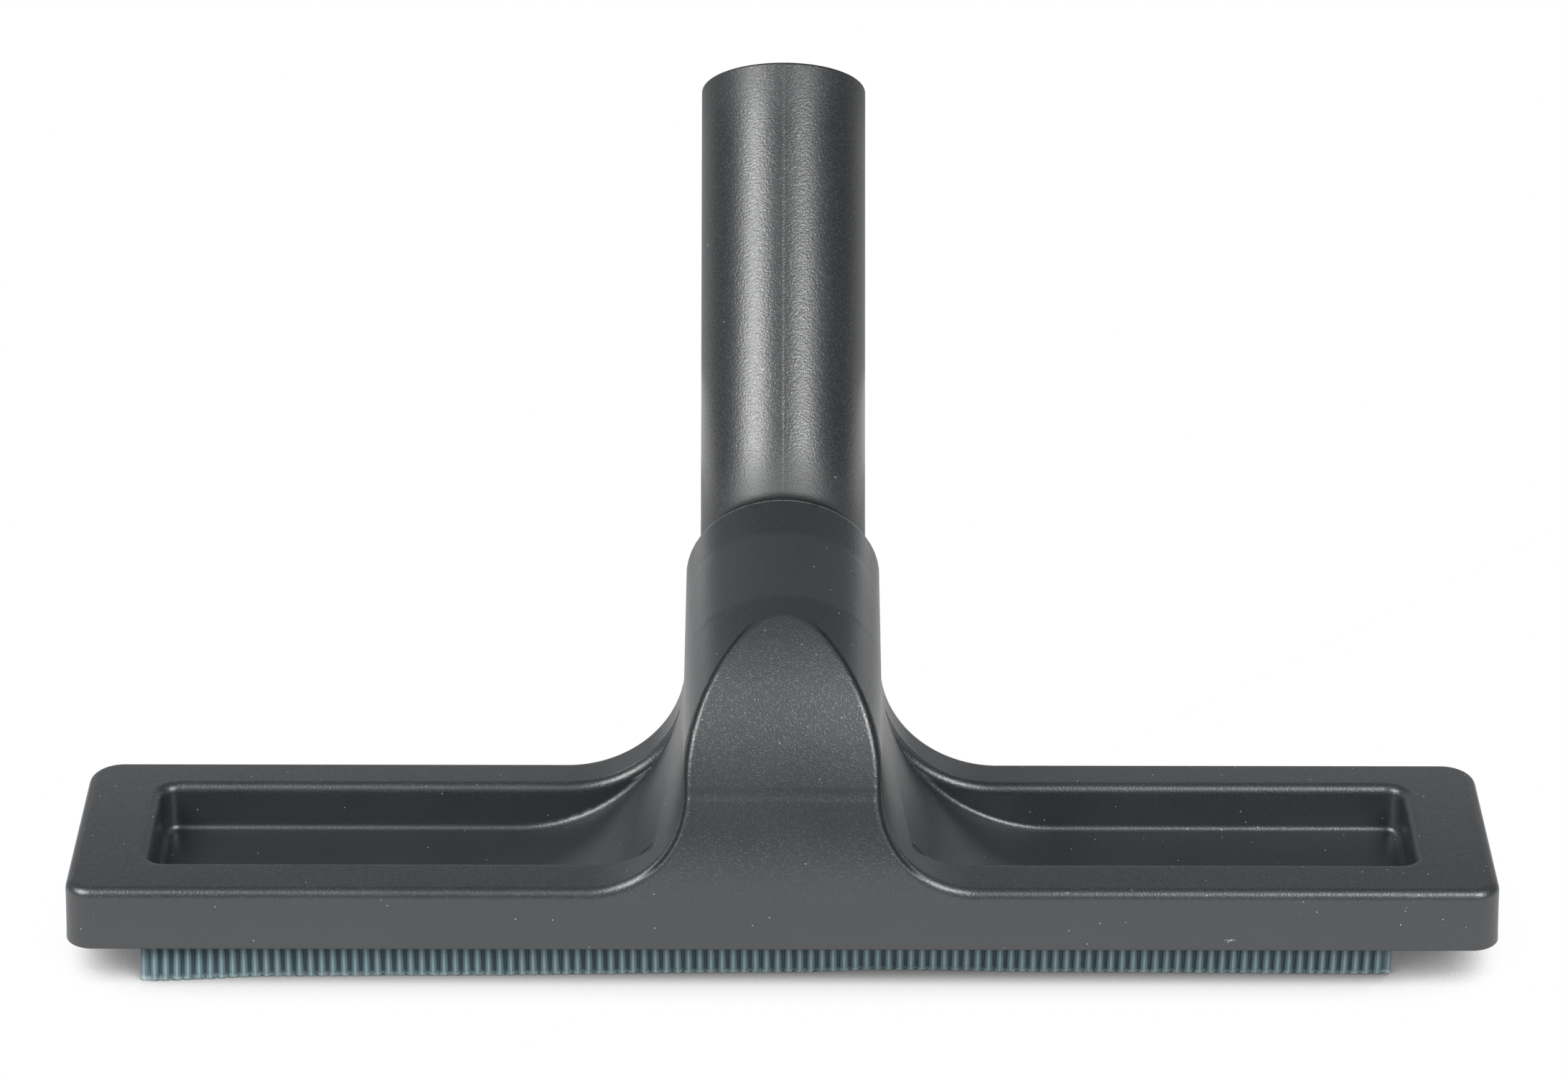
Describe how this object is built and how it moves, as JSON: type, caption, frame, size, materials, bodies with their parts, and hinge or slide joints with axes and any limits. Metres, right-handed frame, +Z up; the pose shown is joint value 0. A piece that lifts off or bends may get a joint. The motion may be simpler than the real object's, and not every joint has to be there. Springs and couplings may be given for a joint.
{
  "type": "vacuum squeegee floor head",
  "caption": "Wide T-shaped vacuum floor head with trays in its top, ribbed rubber squeegee lips underneath and a swivelling elbow tube for the wand.",
  "frame": {"origin": "on the floor, under the middle of the suction mouth between the two lips", "axes": "+X along the bar, +Y to the back where the wand goes, +Z up"},
  "size_m": [0.3, 0.1651, 0.1527],
  "materials": {
    "housing_plastic": "fine-grained charcoal moulding",
    "tube_plastic": "grey-black moulding with a fine sparkle",
    "lip_rubber": "dull blue-grey rubber"
  },
  "bodies": {
    "head": {"nozzle_housing": "housing_plastic", "front_lip": "lip_rubber", "rear_lip": "lip_rubber"},
    "tube": {"elbow_tube": "tube_plastic"}
  },
  "joints": [
    {"name": "tube_swivel", "type": "hinge", "parent": "head", "child": "tube", "pos_m": [0, 0.04365, 0.06], "axis": [0, 0.9744, 0.225], "continuous": true}
  ]
}
